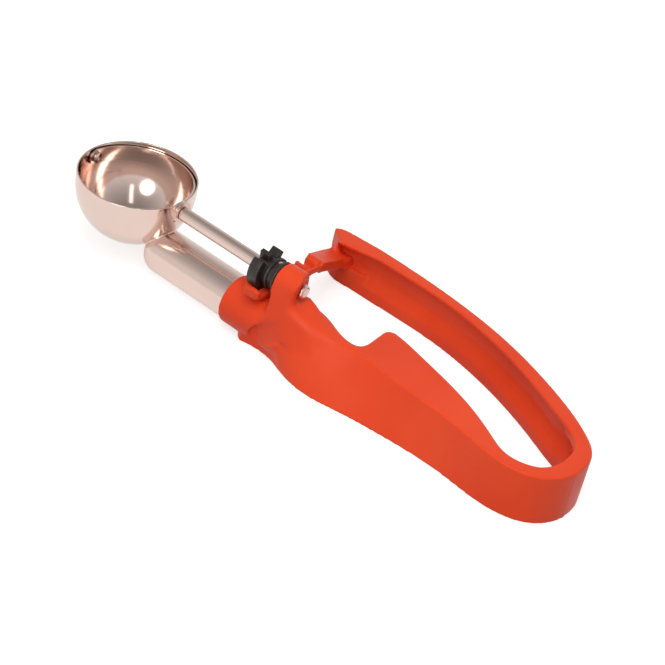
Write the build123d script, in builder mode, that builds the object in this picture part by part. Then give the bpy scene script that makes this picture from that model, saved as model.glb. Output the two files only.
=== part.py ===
"""Lever ice cream scoop: a polished bowl on a stem, a scraper blade turned by a rod and pinion,
and a one-piece moulded handle whose sprung lever carries the rack.

Millimetres. X runs along the scoop from the bowl (-X) to the back of the handle (+X), Y points
to the squeeze lever and Z up. The origin lies on the flat sole of the handle, under the rod.
"""
import os
from math import ceil, cos, hypot, pi, radians, sin, sqrt

from build123d import *

# ---- heights above the sole ----
HANDLE_HEIGHT = 22.6        # moulded handle, sole to top face
ROD_ABOVE_STEM = 21.8       # from the stem's axis to the axis of rod, pinion and bowl pivots

# ---- bowl ----
BOWL_X = -100.0             # centre of the bowl
BOWL_BORE_RADIUS = 25.2
BOWL_WALL = 0.7
RIM_ABOVE_AXIS = 4.4        # straight rim above the rod axis
BOWL_LEAN = 3.5             # degrees about the rod axis, with the lever's side up

# ---- stem ----
STEM_RADIUS = 10.0
STEM_WALL = 1.0
STEM_NOSE_LENGTH = 8.0      # domed front end
STEM_NOSE_X = -86.0         # tip of the dome, hidden by the bowl
STEM_END_X = -8.0           # end inside the handle
KEY_RADIUS = 2.0            # holes in the stem that the moulding fills
KEY_X = -12.0

# ---- scraper, its rivet and bush ----
SCRAPER_GAP = 0.4           # between the blade and the bowl
SCRAPER_THICKNESS = 0.8
SCRAPER_WIDTH = 6.4
SCRAPER_EYE_RADIUS = 3.8
RIVET_RADIUS = 1.5
RIVET_HEAD_RADIUS = 3.0
RIVET_HEAD_THICKNESS = 1.2
RIVET_TAIL_RADIUS = 2.3
RIVET_TAIL_THICKNESS = 0.8
RIVET_TAIL_GAP = 0.25       # end play of the blade on its rivet
BUSH_RADIUS = 3.6
BUSH_FLANGE_RADIUS = 4.8
BUSH_FLANGE_THICKNESS = 1.3
RUNNING_FIT = 0.05          # radial clearance of every turning fit

# ---- rod ----
ROD_RADIUS = 3.0
ROD_JOURNAL_RADIUS = 2.2
ROD_SQUARE = 3.0            # square end that drives the blade
ROD_PEEN_RADIUS = 2.3
ROD_PEEN_THICKNESS = 0.7
ROD_SHOULDER_GAP = 0.2
ROD_END_X = -4.0

# ---- pinion ----
SCRAPER_SWEEP = 165.0       # degrees the blade turns through
PINION_TEETH = 7            # pitch of a full circle; some of it has no teeth
PITCH_RADIUS = 8.0
TIP_RADIUS = 9.3
ROOT_RADIUS = 6.1
BLANK_RADIUS = 9.6          # untoothed sector
BLANK_START = 135.0
BLANK_SWEEP = 100.0
PINION_FRONT_X = -28.0
GEAR_WIDTH = 5.0
HUB_END_X = -16.4
HUB_NECK_RADIUS = 6.2
HUB_RING_RADIUS = 7.0
HUB_RING_WIDTH = 1.7
HUB_FRONT_NECK = 1.2        # neck between the gear and the first ring
FIRST_TOOTH_ANGLE = 108.0   # from +Y towards +Z
TOOTH_ROOT_HALF = 1.65
TOOTH_TIP_HALF = 0.95
PIN_RADIUS = 1.0

# ---- handle: collar, bearing ear, keel ----
COLLAR_WALL = 1.0           # round the stem
COLLAR_FRONT_X = -37.0
COLLAR_BACK_X = -5.0
EAR_FRONT_X = -16.0
EAR_BACK_X = -4.5           # back of the ear on the grip's outer side
EAR_BACK_SLANT = 20.0       # its back face turns towards the lever
EAR_RADIUS = 7.5
EAR_RECESS_RADIUS = 3.8
EAR_RECESS_DEPTH = 3.0
FAIRING_TOP = (-7.5, 5.4)   # hollow fairing between the ear and the top of the grip, as X and height
FAIRING_FOOT_X = 10.0
FAIRING_RADIUS = 26.0
FAIRING_HALF_WIDTH = 5.2
KEEL_FRONT_X = -29.0
KEEL_BACK_X = 0.0
KEEL_HALF_WIDTH = 8.9
KEEL_CORNER = 6.5
DISH_RADIUS = 28.7          # finger dish in the side of the keel
DISH_X = -15.5
DISH_DEPTH = 1.8
DISH_Z = -0.7

# ---- handle: grip and rear bow, as plan points ----
GRIP_FRONT_X = -14.0
GRIP_MID_Z = 0.5 * HANDLE_HEIGHT
SIDE_X = [-6.0, 3.2, 16.7, 33.0, 52.4, 82.5, 108.5]
SOLE_SIDE_Y = [-9.5, -12.2, -14.1, -11.4, -8.7, -7.5, -8.7]
MID_SIDE_Y = [-9.8, -10.6, -9.6, -6.4, -5.6, -6.1, -8.6]
TOP_SIDE_Y = [-4.6, -4.0, -2.2, -1.2, -2.6, -4.9, -8.4]
BOW_OUTSIDE = [(119.0, -5.4), (126.2, 1.6)]
BOW_INSIDE = [(119.3, 4.8), (113.6, -0.3), (106.0, -1.9)]
GRIP_INSIDE = [(93.0, 3.3), (69.0, 14.0), (42.6, 21.4)]
HUMP_TOP = (28.0, 24.5)     # finger stop
HUMP_NOSE = (25.0, 23.4)
HUMP_SIDE = (24.1, 20.6)
HUMP_FOOT = (25.6, 8.6)
VALLEY = [(24.6, 4.2), (20.4, 2.8)]
WAIST = [(5.0, 8.0), (-5.0, 10.0)]
GRIP_FRONT_INNER_Y = 10.4
GRIP_BEYOND_Y = 40.0        # construction line outside the grip

# ---- flexing bow and lever ----
BOW_Y = 12.0                # where grip and lever meet
BOW_OUTER_X = 129.4
BOW_INNER_X = 121.2
KNUCKLE_GAP = 0.3
KNUCKLE_SETBACK = 1.2
LEVER_OUTSIDE = [(128.4, 21.6), (117.5, 36.3), (87.0, 52.4), (53.0, 63.5), (16.6, 68.8), (-18.0, 69.9)]
LEVER_INSIDE = [(120.0, 21.8), (104.4, 36.6), (61.0, 55.0), (22.0, 62.9), (-13.0, 63.1)]
LEVER_NOSE = [(-34.0, 68.7), (-37.8, 67.6), (-39.8, 65.4), (-31.0, 58.8)]
NOSE_HEEL_X = -26.0         # the nose slopes back to here at the sole, as X and Z
NOSE_BEND = (-35.2, 4.6)
NOSE_UPRIGHT_Z = 17.0
TOP_LIP = 3.8               # lips of the channel
BOTTOM_LIP = 9.4
CHANNEL_WEB = 2.4           # wall left behind the channel
CHANNEL_FRONT_X = -25.0
CHANNEL_START = (119.0, 18.6)   # rounded end of the channel in the bow
CHANNEL_SHARE = 0.15        # where the channel reaches its full depth, as a share of the lever
LIP_SHARE = 0.9
LIP_END = (120.6, 19.2)
LOWER_LIP_SETBACK = 0.7

# ---- rack arm on the lever ----
ARM_CLEARANCE = 0.2         # over the collar
RACK_TIP_DROP = 6.6         # rack tooth tips, valleys, rib and shoulder, below the rod axis
RACK_VALLEY_DROP = 9.6
RIB_DROP = 7.6
SHOULDER_DROP = 5.6
LIP_DROP = 5.2
ARM_FRONT_OFFSET = 0.3      # arm in front of the pinion
ARM_BACK = [(-21.0, 33.0), (-19.0, -11.0)]
RIB_GAP = 0.6               # rib behind the gear disc
ARM_TIP_Y = -11.0
LIP_INNER_Y = -8.6
ARM_TIP_CORNER = 3.0
ARM_TIP_ROUND = 1.5
FIRST_TOOTH_Y = 2.5
RACK_TIP_HALF = 0.8
RACK_ROOT_HALF = 1.7
SHOULDER_Y = 31.5
ARM_NECK = 1.8526           # the arm's height on its ramp where its underside turns down
ARM_ROOT_FRONT = (-30.0, 50.0)
ARM_ROOT_BACK = (-18.5, 50.0)
ARM_JOIN_FRONT = (-31.5, 62.0)
ARM_JOIN_BACK = (-14.0, 64.0)
SHOULDER_END_Y = 34.0
RAMP_END_Y = 53.0
GUSSET_MIDDLE = (54.0, -2.8)  # the height from the lever's top
GUSSET_END_Y = 60.5
GUSSET_LOW_Z = 12.0

# ---- worked out ----
COLLAR_RADIUS = STEM_RADIUS + COLLAR_WALL
STEM_AXIS_Z = COLLAR_RADIUS   # the collar lies on the sole's plane
ROD_AXIS_Z = STEM_AXIS_Z + ROD_ABOVE_STEM
BOWL_RADIUS = BOWL_BORE_RADIUS + BOWL_WALL
SCRAPER_RADIUS = BOWL_BORE_RADIUS - SCRAPER_GAP
SCRAPER_INNER_RADIUS = SCRAPER_RADIUS - SCRAPER_THICKNESS
COLLAR_TOP = STEM_AXIS_Z + COLLAR_RADIUS
PIN_X = 0.5 * (PINION_FRONT_X + GEAR_WIDTH + HUB_END_X)
GEAR_MID_X = PINION_FRONT_X + 0.5 * GEAR_WIDTH
TOOTH_ANGLE = 360.0 / PINION_TEETH
TOOTH_PITCH = 2 * pi * PITCH_RADIUS / PINION_TEETH
TOOTH_COUNT = ceil(SCRAPER_SWEEP / TOOTH_ANGLE) + 1   # on the pinion and on the rack
HINGE_X = 0.5 * (BOW_OUTER_X + BOW_INNER_X)
BOW_HALF = 0.5 * (BOW_OUTER_X - BOW_INNER_X)
RACK_REACH = HINGE_X - GEAR_MID_X

os.makedirs("parts", exist_ok=True)


def beside(curve, distance, start=0.0, end=1.0):
    """Points at a distance to the left of a curve, between two shares of its length."""
    shares = [start + (end - start) * k / 8 for k in range(9)]
    return [curve @ t + Vector(-(curve % t).Y, (curve % t).X) * distance for t in shares]


def through(points, start, end):
    """Smooth curve through points that leaves along start and arrives along end."""
    points = [Vector(*p) for p in points]
    chords = [(b - a).length for a, b in zip(points, points[1:])]
    mean = sum(chords) / len(chords)
    return Spline(*points, tangents=[start, end], tangent_scalars=[chords[0] / mean, chords[-1] / mean])


def across(x):
    """A YZ plane at x whose centre is the rod axis: local x is Y, local y is Z."""
    return Plane(origin=(x, 0, ROD_AXIS_Z), x_dir=(0, 1, 0), z_dir=(1, 0, 0))


def lengthwise(y, z):
    """An XZ plane whose normal is +Y: local x is -X, local y is Z."""
    return Plane(origin=(0, y, z), x_dir=(-1, 0, 0), z_dir=(0, 1, 0))


BOWL_CENTRE = (BOWL_X, 0, ROD_AXIS_Z)
bowl_lean = radians(BOWL_LEAN)
BOWL_SECTION = Plane(origin=BOWL_CENTRE, x_dir=(0, -cos(bowl_lean), -sin(bowl_lean)), z_dir=(-1, 0, 0))
BOWL_AXIS = Axis(BOWL_CENTRE, (0, -sin(bowl_lean), cos(bowl_lean)))
SEAM_TURN = (0, 0, -90)       # turns a sphere's seam away from the pivots
STEM_NOSE_CENTRE = (STEM_NOSE_X + STEM_NOSE_LENGTH, 0, STEM_AXIS_Z)
STEM_SECTION = Plane(origin=STEM_NOSE_CENTRE, x_dir=(1, 0, 0), z_dir=(0, 1, 0))
PIN_PLANE = Plane(origin=(PIN_X, 0, ROD_AXIS_Z), x_dir=(1, 0, 0), z_dir=(0, 0, 1))

ear_slant = radians(EAR_BACK_SLANT)
EAR_BACK_PLANE = Plane(origin=(EAR_BACK_X, -0.5 * EAR_RADIUS, 0),
                       x_dir=(-sin(ear_slant), cos(ear_slant), 0),
                       z_dir=(cos(ear_slant), sin(ear_slant), 0))

# ---- bowl: one pressed half sphere with a short straight rim ----
with BuildPart() as bowl:
    with BuildSketch(BOWL_SECTION):
        with BuildLine():
            outer_skin = CenterArc((0, 0), BOWL_RADIUS, -90, 90)
            outer_rim = Line(outer_skin @ 1, (BOWL_RADIUS, RIM_ABOVE_AXIS))
            rim_top = Line(outer_rim @ 1, (BOWL_BORE_RADIUS, RIM_ABOVE_AXIS))
            inner_rim = Line(rim_top @ 1, (BOWL_BORE_RADIUS, 0))
            inner_skin = CenterArc((0, 0), BOWL_BORE_RADIUS, 0, -90)
            Line(inner_skin @ 1, outer_skin @ 0)
        make_face()
    revolve(axis=BOWL_AXIS)
    with BuildSketch(across(BOWL_X + BOWL_RADIUS)):
        Circle(BUSH_RADIUS)
    extrude(amount=0.5 * BOWL_RADIUS, both=True, mode=Mode.SUBTRACT)
    with BuildSketch(across(BOWL_X - BOWL_RADIUS)):
        Circle(RIVET_RADIUS)
    extrude(amount=0.5 * BOWL_RADIUS, both=True, mode=Mode.SUBTRACT)
with BuildPart() as bowl_form:
    with BuildSketch(BOWL_SECTION):
        with BuildLine():
            form_skin = CenterArc((0, 0), BOWL_RADIUS, -90, 90)
            form_rim = Line(form_skin @ 1, (BOWL_RADIUS, RIM_ABOVE_AXIS))
            Polyline(form_rim @ 1, (0, RIM_ABOVE_AXIS), form_skin @ 0)
        make_face()
    revolve(axis=BOWL_AXIS)
bowl.part.label = "bowl"
export_step(bowl.part, "parts/bowl.step")

# ---- stem tube: domed nose cut to sit on the bowl, open at the back ----
with BuildPart() as stem_core:
    with BuildSketch(STEM_SECTION):
        with BuildLine():
            core_dome = EllipticalCenterArc((0, 0), STEM_NOSE_LENGTH, STEM_RADIUS, 90, arc_size=90)
            core_side = Line(core_dome @ 0, (STEM_END_X - STEM_NOSE_CENTRE[0], STEM_RADIUS))
            core_back = Line(core_side @ 1, (STEM_END_X - STEM_NOSE_CENTRE[0], 0))
            Line(core_back @ 1, core_dome @ 1)
        make_face()
    revolve(axis=Axis(STEM_NOSE_CENTRE, (1, 0, 0)))

with BuildPart() as stem_tube:
    with BuildSketch(STEM_SECTION):
        with BuildLine():
            dome = EllipticalCenterArc((0, 0), STEM_NOSE_LENGTH, STEM_RADIUS, 90, arc_size=90)
            side = Line(dome @ 0, (STEM_END_X - STEM_NOSE_CENTRE[0], STEM_RADIUS))
            end = Line(side @ 1, (STEM_END_X - STEM_NOSE_CENTRE[0], STEM_RADIUS - STEM_WALL))
            bore = Line(end @ 1, (0, STEM_RADIUS - STEM_WALL))
            inner_dome = EllipticalCenterArc((0, 0), STEM_NOSE_LENGTH - STEM_WALL, STEM_RADIUS - STEM_WALL,
                                             90, arc_size=90)
            Line(inner_dome @ 1, dome @ 1)
        make_face()
    revolve(axis=Axis(STEM_NOSE_CENTRE, (1, 0, 0)))
    add(bowl_form.part, mode=Mode.SUBTRACT)
    with BuildSketch(lengthwise(0, STEM_AXIS_Z)):
        with Locations((-KEY_X, 0)):
            Circle(KEY_RADIUS)
    extrude(amount=2 * STEM_RADIUS, both=True, mode=Mode.SUBTRACT)
stem_tube.part.label = "stem_tube"
export_step(stem_tube.part, "parts/stem_tube.step")

# ---- scraper blade: a thin band of a sphere with a round eye at each end ----
with BuildPart() as scraper_blade:
    with BuildSketch(lengthwise(0, ROD_AXIS_Z)):
        with Locations((-BOWL_X, 0)):
            Rectangle(3 * BOWL_RADIUS, SCRAPER_WIDTH)
    extrude(amount=2 * BOWL_RADIUS)
    with BuildSketch(across(BOWL_X)):
        Circle(SCRAPER_EYE_RADIUS)
    extrude(amount=2 * BOWL_RADIUS, both=True)
    with Locations(BOWL_CENTRE):
        Sphere(SCRAPER_RADIUS, rotation=SEAM_TURN, mode=Mode.INTERSECT)
        Sphere(SCRAPER_INNER_RADIUS, rotation=SEAM_TURN, mode=Mode.SUBTRACT)
    with BuildSketch(across(BOWL_X)):
        Rectangle(ROD_SQUARE + 2 * RUNNING_FIT, ROD_SQUARE + 2 * RUNNING_FIT)
    extrude(amount=2 * BOWL_RADIUS, mode=Mode.SUBTRACT)
    with BuildSketch(across(BOWL_X)):
        Circle(RIVET_RADIUS + RUNNING_FIT)
    extrude(amount=-2 * BOWL_RADIUS, mode=Mode.SUBTRACT)
scraper_blade.part.label = "scraper_blade"
export_step(scraper_blade.part, "parts/scraper_blade.step")

# ---- pivot rivet: carries the blade at the front of the bowl ----
rivet_head_x = BOWL_X - BOWL_RADIUS - RIVET_HEAD_THICKNESS
rivet_tail_x = BOWL_X - SCRAPER_INNER_RADIUS + RIVET_TAIL_GAP
with BuildPart() as pivot_rivet:
    with BuildSketch(across(rivet_head_x)):
        Circle(RIVET_HEAD_RADIUS)
    extrude(amount=RIVET_HEAD_THICKNESS + BOWL_WALL)
    fillet(pivot_rivet.faces().sort_by(Axis.X)[0].edges(), 0.6 * RIVET_HEAD_THICKNESS)
    add(bowl_form.part, mode=Mode.SUBTRACT)
    with BuildSketch(across(rivet_head_x + 0.5 * RIVET_HEAD_THICKNESS)):
        Circle(RIVET_RADIUS)
    extrude(amount=rivet_tail_x - rivet_head_x - 0.5 * RIVET_HEAD_THICKNESS)
    with BuildSketch(across(rivet_tail_x)):
        Circle(RIVET_TAIL_RADIUS)
    extrude(amount=RIVET_TAIL_THICKNESS)
pivot_rivet.part.label = "pivot_rivet"
export_step(pivot_rivet.part, "parts/pivot_rivet.step")

# ---- bush: flanged bearing for the rod in the bowl wall ----
bush_inner_x = BOWL_X + sqrt(BOWL_BORE_RADIUS ** 2 - BUSH_RADIUS ** 2)
bush_outer_x = BOWL_X + BOWL_RADIUS + BUSH_FLANGE_THICKNESS
with BuildPart() as rod_bush:
    with BuildSketch(across(bush_outer_x)):
        Circle(BUSH_FLANGE_RADIUS)
    extrude(amount=-(BUSH_FLANGE_THICKNESS + BOWL_WALL))
    add(bowl_form.part, mode=Mode.SUBTRACT)
    with BuildSketch(across(bush_inner_x)):
        Circle(BUSH_RADIUS)
    extrude(amount=bush_outer_x - bush_inner_x)
    with BuildSketch(across(bush_inner_x)):
        Circle(ROD_JOURNAL_RADIUS + RUNNING_FIT)
    extrude(amount=BOWL_RADIUS, both=True, mode=Mode.SUBTRACT)
rod_bush.part.label = "rod_bush"
export_step(rod_bush.part, "parts/rod_bush.step")

# ---- rod: peened square end, journal, long shank and rounded tail ----
peen_x = BOWL_X + sqrt(SCRAPER_INNER_RADIUS ** 2 - ROD_PEEN_RADIUS ** 2)
journal_x = BOWL_X + SCRAPER_RADIUS
shank_x = bush_outer_x + ROD_SHOULDER_GAP
with BuildPart() as scraper_rod:
    with BuildSketch(across(shank_x)):
        Circle(ROD_RADIUS)
    extrude(amount=ROD_END_X - shank_x)
    fillet(scraper_rod.faces().sort_by(Axis.X)[-1].edges(), 0.4 * ROD_RADIUS)
    with BuildSketch(across(journal_x)):
        Circle(ROD_JOURNAL_RADIUS)
    extrude(amount=shank_x - journal_x)
    with BuildSketch(across(peen_x)):
        Rectangle(ROD_SQUARE, ROD_SQUARE)
    extrude(amount=journal_x - peen_x)
    with BuildSketch(across(peen_x)):
        Circle(ROD_PEEN_RADIUS)
    extrude(amount=-ROD_PEEN_THICKNESS)
    with BuildSketch(PIN_PLANE):
        Circle(PIN_RADIUS)
    extrude(amount=2 * ROD_RADIUS, both=True, mode=Mode.SUBTRACT)
scraper_rod.part.label = "scraper_rod"
export_step(scraper_rod.part, "parts/scraper_rod.step")


def tooth_corners(angle):
    """One pinion tooth: straight flanks from inside the root circle to its flat tip."""
    a = radians(angle)
    radial = Vector(cos(a), sin(a))
    side = Vector(-sin(a), cos(a))
    foot = radial * 0.8 * ROOT_RADIUS
    tip = radial * sqrt(TIP_RADIUS ** 2 - TOOTH_TIP_HALF ** 2)
    corners = [foot + side * TOOTH_ROOT_HALF, tip + side * TOOTH_TIP_HALF,
               tip - side * TOOTH_TIP_HALF, foot - side * TOOTH_ROOT_HALF]
    return [(c.X, c.Y) for c in corners]


# ---- pinion: gear with teeth on part of its rim and a ringed hub behind it ----
with BuildPart() as pinion:
    with BuildSketch(across(PINION_FRONT_X)):
        Circle(ROOT_RADIUS)
        with BuildLine():
            blank_rim = CenterArc((0, 0), BLANK_RADIUS, BLANK_START, BLANK_SWEEP)
            Line(blank_rim @ 1, (0, 0))
            Line((0, 0), blank_rim @ 0)
        make_face()
        for k in range(TOOTH_COUNT):
            with BuildLine():
                Polyline(tooth_corners(FIRST_TOOTH_ANGLE - k * TOOTH_ANGLE), close=True)
            make_face()
    extrude(amount=GEAR_WIDTH)
    with BuildSketch(across(PINION_FRONT_X + GEAR_WIDTH)):
        Circle(HUB_NECK_RADIUS)
    extrude(amount=HUB_END_X - PINION_FRONT_X - GEAR_WIDTH)
    with BuildSketch(across(PINION_FRONT_X + GEAR_WIDTH + HUB_FRONT_NECK)):
        Circle(HUB_RING_RADIUS)
    extrude(amount=HUB_RING_WIDTH)
    with BuildSketch(across(HUB_END_X)):
        Circle(HUB_RING_RADIUS)
    extrude(amount=-HUB_RING_WIDTH)
    with BuildSketch(across(PINION_FRONT_X)):
        Circle(ROD_RADIUS)
    extrude(amount=HUB_END_X - PINION_FRONT_X, mode=Mode.SUBTRACT)
    with BuildSketch(PIN_PLANE):
        Circle(PIN_RADIUS)
    extrude(amount=2 * HUB_RING_RADIUS, both=True, mode=Mode.SUBTRACT)
pinion.part.label = "pinion"
export_step(pinion.part, "parts/pinion.step")

# ---- cross pin: locks the pinion to the rod ----
with BuildPart() as pinion_pin:
    with BuildSketch(PIN_PLANE):
        Circle(PIN_RADIUS)
    extrude(amount=HUB_NECK_RADIUS, both=True)
pinion_pin.part.label = "pinion_pin"
export_step(pinion_pin.part, "parts/pinion_pin.step")


def grip_side(z, side_y):
    """Plan section at height z that bounds the grip's outer side and the outside of the bow."""
    side = [(GRIP_FRONT_X, side_y[0]), *zip(SIDE_X, side_y), *BOW_OUTSIDE, (BOW_OUTER_X, BOW_Y)]
    with BuildSketch(Plane.XY.offset(z)) as section:
        with BuildLine():
            outer = through(side, (1, 0), (0, 1))
            Polyline(outer @ 1, (BOW_OUTER_X, GRIP_BEYOND_Y), (GRIP_FRONT_X, GRIP_BEYOND_Y), outer @ 0)
        make_face()
    return section.sketch


sole_section = grip_side(0, SOLE_SIDE_Y)
middle_section = grip_side(GRIP_MID_Z, MID_SIDE_Y)
top_section = grip_side(HANDLE_HEIGHT, TOP_SIDE_Y)
inside_points = [(BOW_INNER_X, BOW_Y), *BOW_INSIDE, *GRIP_INSIDE, HUMP_TOP]
waist_points = [HUMP_FOOT, *VALLEY, *WAIST, (GRIP_FRONT_X, GRIP_FRONT_INNER_Y)]

# ---- handle grip: grip and rear bow, keel, finger dish, collar and the rod's bearing ear ----
with BuildPart() as handle_grip:
    add(sole_section)
    add(middle_section)
    add(top_section)
    loft()
    with BuildSketch(Plane.XY):
        with BuildLine():
            bow_inside = through(inside_points, (0, -1), (-1, 0.1))
            hump = ThreePointArc(bow_inside @ 1, HUMP_NOSE, HUMP_SIDE)
            foot = Line(hump @ 1, HUMP_FOOT)
            waist = through(waist_points, (0.1, -1), (-1, 0))
            Polyline(waist @ 1, (GRIP_FRONT_X, -GRIP_BEYOND_Y), (BOW_OUTER_X + BOW_HALF, -GRIP_BEYOND_Y),
                     (BOW_OUTER_X + BOW_HALF, BOW_Y), bow_inside @ 0)
        make_face()
    extrude(amount=HANDLE_HEIGHT, mode=Mode.INTERSECT)
    with BuildSketch(Plane.XY):
        with Locations((0.5 * (KEEL_FRONT_X + KEEL_BACK_X), 0)):
            RectangleRounded(KEEL_BACK_X - KEEL_FRONT_X, 2 * KEEL_HALF_WIDTH, KEEL_CORNER)
    extrude(amount=STEM_AXIS_Z)
    with Locations((DISH_X, DISH_DEPTH - KEEL_HALF_WIDTH - DISH_RADIUS, DISH_Z)):
        Sphere(DISH_RADIUS, mode=Mode.SUBTRACT)
    with BuildSketch(across(COLLAR_FRONT_X)):
        with Locations((0, STEM_AXIS_Z - ROD_AXIS_Z)):
            Circle(COLLAR_RADIUS)
    extrude(amount=COLLAR_BACK_X - COLLAR_FRONT_X)
    with BuildSketch(across(EAR_FRONT_X)):
        Circle(EAR_RADIUS)
        with Locations((0, STEM_AXIS_Z - ROD_AXIS_Z)):
            Circle(COLLAR_RADIUS)
        make_hull()
    extrude(amount=EAR_BACK_X - EAR_FRONT_X)
    with BuildSketch(EAR_BACK_PLANE):
        with Locations((0, HANDLE_HEIGHT + 2 * EAR_RADIUS)):
            Rectangle(4 * EAR_RADIUS, 4 * EAR_RADIUS)
    extrude(amount=4 * EAR_RADIUS, mode=Mode.SUBTRACT)
    with BuildSketch(lengthwise(-FAIRING_HALF_WIDTH, HANDLE_HEIGHT)):
        with BuildLine():
            fairing = RadiusArc((-FAIRING_TOP[0], FAIRING_TOP[1]), (-FAIRING_FOOT_X, 0), FAIRING_RADIUS)
            Polyline(fairing @ 1, (-FAIRING_FOOT_X, -FAIRING_TOP[1]), (-EAR_FRONT_X, -FAIRING_TOP[1]),
                     (-EAR_FRONT_X, FAIRING_TOP[1]), fairing @ 0)
        make_face()
    extrude(amount=2 * FAIRING_HALF_WIDTH)
    with BuildSketch(across(EAR_FRONT_X)):
        Circle(ROD_RADIUS + RUNNING_FIT)
    extrude(amount=EAR_BACK_X - EAR_FRONT_X, mode=Mode.SUBTRACT)
    with BuildSketch(across(EAR_BACK_X)):
        Circle(EAR_RECESS_RADIUS)
    extrude(amount=-EAR_RECESS_DEPTH, mode=Mode.SUBTRACT)
    add(stem_core.part, mode=Mode.SUBTRACT)
    with BuildSketch(lengthwise(0, STEM_AXIS_Z)):
        with Locations((-KEY_X, 0)):
            Circle(KEY_RADIUS)
    extrude(amount=0.5 * (STEM_RADIUS + COLLAR_RADIUS), both=True)
    with BuildSketch(across(STEM_END_X)):
        with Locations((0, STEM_AXIS_Z - ROD_AXIS_Z)):
            Circle(STEM_RADIUS - 1.5 * STEM_WALL)
    extrude(amount=COLLAR_FRONT_X - STEM_END_X, mode=Mode.SUBTRACT)
    with BuildSketch(Plane.XY):
        with Locations((HINGE_X, BOW_Y)):
            Circle(BOW_HALF + KNUCKLE_GAP)
            Rectangle(4 * BOW_HALF, 2 * KNUCKLE_SETBACK)
    extrude(amount=HANDLE_HEIGHT, mode=Mode.SUBTRACT)
handle_grip.part.label = "handle_grip"
export_step(handle_grip.part, "parts/handle_grip.step")


def on_arc(radius, y):
    """Point at y on a circle round the bow's bending axis."""
    return (HINGE_X - sqrt(radius ** 2 - (y - BOW_Y) ** 2), y)


def rack_section(along):
    """Plane across the arm, square to the rod when that part of the arm passes under the pinion."""
    turn = -along / RACK_REACH
    x_dir = Vector(-sin(turn), cos(turn), 0)
    z_dir = Vector(cos(turn), sin(turn), 0)
    origin = Vector(HINGE_X, BOW_Y, ROD_AXIS_Z) - z_dir * RACK_REACH - x_dir * BOW_Y
    return Plane(origin=origin, x_dir=x_dir, z_dir=z_dir)


# ---- rack arm: passes over the collar and under the pinion ----
arm_front_radius = hypot(HINGE_X - PINION_FRONT_X + ARM_FRONT_OFFSET, BOW_Y)
rib_front_radius = hypot(HINGE_X - PINION_FRONT_X - GEAR_WIDTH - RIB_GAP, BOW_Y)
arm_bottom = COLLAR_TOP + ARM_CLEARANCE - ROD_AXIS_Z
gusset_low = GUSSET_LOW_Z - ROD_AXIS_Z
lever_top = HANDLE_HEIGHT - ROD_AXIS_Z
ramp_slope = (RAMP_END_Y - SHOULDER_END_Y) / (-SHOULDER_DROP - lever_top)
arm_bend_y = SHOULDER_END_Y + ramp_slope * (-SHOULDER_DROP - arm_bottom - ARM_NECK)
gusset_middle = (GUSSET_MIDDLE[0], lever_top + GUSSET_MIDDLE[1])
valley_bottom_half = 0.5 * TOOTH_PITCH - RACK_ROOT_HALF
valley_top_half = 0.5 * TOOTH_PITCH - RACK_TIP_HALF
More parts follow.
